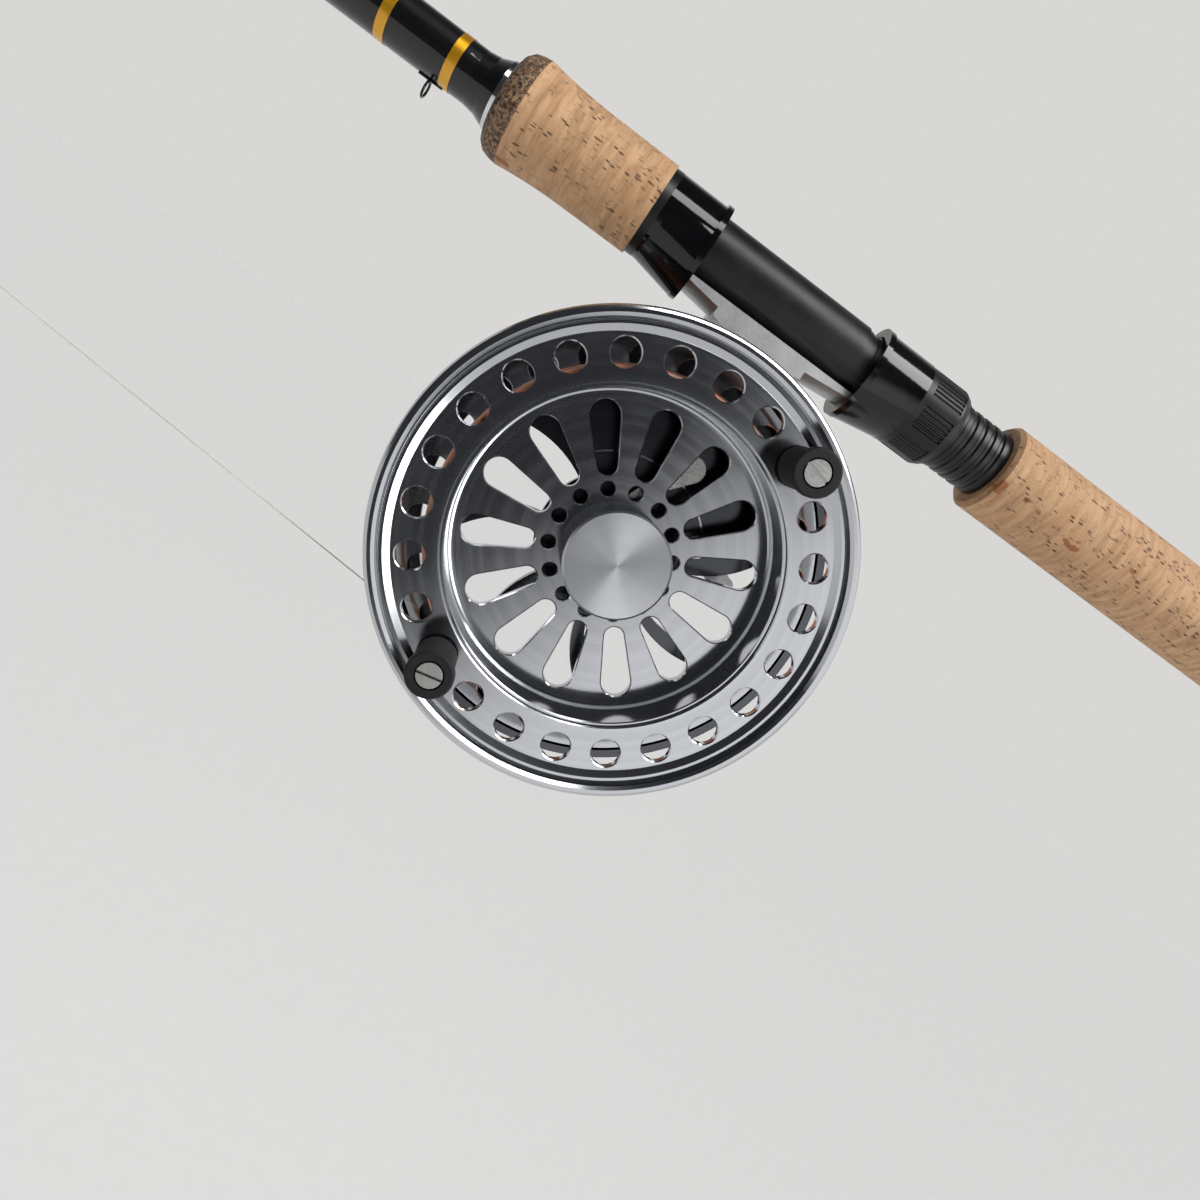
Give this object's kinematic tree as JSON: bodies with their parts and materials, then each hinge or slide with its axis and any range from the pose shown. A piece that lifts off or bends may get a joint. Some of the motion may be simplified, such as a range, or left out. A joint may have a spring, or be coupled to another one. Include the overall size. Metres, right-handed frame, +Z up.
{
  "type": "fishing rod and reel",
  "caption": "Float fishing rod with cork grips and screw reel seat, carrying an open centrepin reel with twin knobs, line through the guides",
  "frame": {"origin": "on the rod's axis, in the middle of the rear cork grip", "axes": "+X along the rod towards the butt, -X towards the tip, +Z up with the reel hanging below, -Y is the side with the handles"},
  "size_m": [2.7621, 0.0498, 0.1398],
  "materials": {
    "carbon": "varnished carbon, gloss",
    "whipping": "epoxy-varnished thread, gloss black",
    "gold_thread": "metallic thread under varnish",
    "steel": "satin stainless",
    "black_wire": "gloss black",
    "ceramic": "polished ceramic",
    "bright_ring": "polished",
    "burl_cork": "dark composite cork",
    "cork": "sanded cork",
    "black_satin": "satin black",
    "black_gloss": "gloss black",
    "rubber": "matte",
    "turned_aluminium": "fine turned, clear anodised",
    "dark_aluminium": "anodised grey",
    "blasted_aluminium": "bead-blasted",
    "mono": "clear monofilament, peach",
    "brass": "plain"
  },
  "bodies": {
    "rod": {"blank_butt": "carbon", "blank_tip": "carbon", "blank_spigot": "carbon", "joint_windings": "whipping", "butt_whipping": "whipping", "gold_bands": "gold_thread", "keeper_ring": "black_wire", "winding_check": "bright_ring", "foregrip_burl": "burl_cork", "foregrip_cork": "cork", "foregrip_trim_ring": "black_satin", "seat_tube": "black_satin", "fixed_hood": "black_gloss", "rear_grip_cork": "cork", "rear_grip_burl": "burl_cork", "butt_cap": "rubber", "guide_frame_1": "black_wire", "guide_frame_2": "black_wire", "guide_frame_3": "black_wire", "guide_frame_4": "black_wire", "guide_frames_small": "black_wire", "guide_rings": "ceramic", "guide_whippings": "whipping", "tip_top": "black_wire", "tip_ring": "ceramic", "fishing_line": "mono", "line_swivel": "brass", "reel_foot": "blasted_aluminium", "foot_screws": "steel", "backplate": "dark_aluminium", "centre_pin": "steel", "pin_nuts": "steel", "pawl_screw": "steel", "pawl_spring": "steel"},
    "spool": {"drum_face": "turned_aluminium", "drum_arbor": "turned_aluminium", "drum_web": "turned_aluminium", "spool_rear_flange": "turned_aluminium", "flange_screws": "steel", "line_pack": "mono", "bearing_front": "steel", "bearing_rear": "steel", "bearing_spacer": "steel", "spindle_cap": "turned_aluminium", "ratchet_wheel": "steel", "handle_spindles": "steel"},
    "knob_1": {"handle_knob_1": "black_satin"},
    "knob_2": {"handle_knob_2": "black_satin"},
    "check_lever": {"check_lever": "turned_aluminium"},
    "pawl": {"pawl": "steel"},
    "hood": {"movable_hood": "black_gloss"},
    "nut": {"lock_nut": "black_satin"}
  },
  "joints": [
    {"name": "spool_spin", "type": "hinge", "parent": "rod", "child": "spool", "pos_m": [-0.1809, 0, -0.0704], "axis": [0, 1, 0], "continuous": true},
    {"name": "knob_1_spin", "type": "hinge", "parent": "spool", "child": "knob_1", "pos_m": [-0.15881, -0.0162, -0.02903], "axis": [0, 1, 0], "continuous": true},
    {"name": "knob_2_spin", "type": "hinge", "parent": "spool", "child": "knob_2", "pos_m": [-0.20299, -0.0162, -0.11177], "axis": [0, 1, 0], "continuous": true},
    {"name": "check_lever_turn", "type": "hinge", "parent": "rod", "child": "check_lever", "pos_m": [-0.1622, 0, -0.0578], "axis": [0, 1, 0], "range_deg": [0, 28]},
    {"name": "pawl_turn", "type": "hinge", "parent": "rod", "child": "pawl", "pos_m": [-0.1753, 0, -0.0426], "axis": [0, -1, 0], "range_deg": [0, 4]},
    {"name": "hood_slide", "type": "slide", "parent": "rod", "child": "hood", "axis": [1, 0, 0], "range_m": [0, 0.0125]},
    {"name": "nut_turn", "type": "hinge", "parent": "hood", "child": "nut", "pos_m": [-0.1409, 0, 0], "axis": [1, 0, 0], "range_deg": [0, 1591.1]}
  ],
  "couplings": [
    {"joint": "pawl_turn", "follows": "check_lever_turn", "ratio": 0.1425},
    {"joint": "nut_turn", "follows": "hood_slide", "rad_per_m": 2220.2}
  ]
}
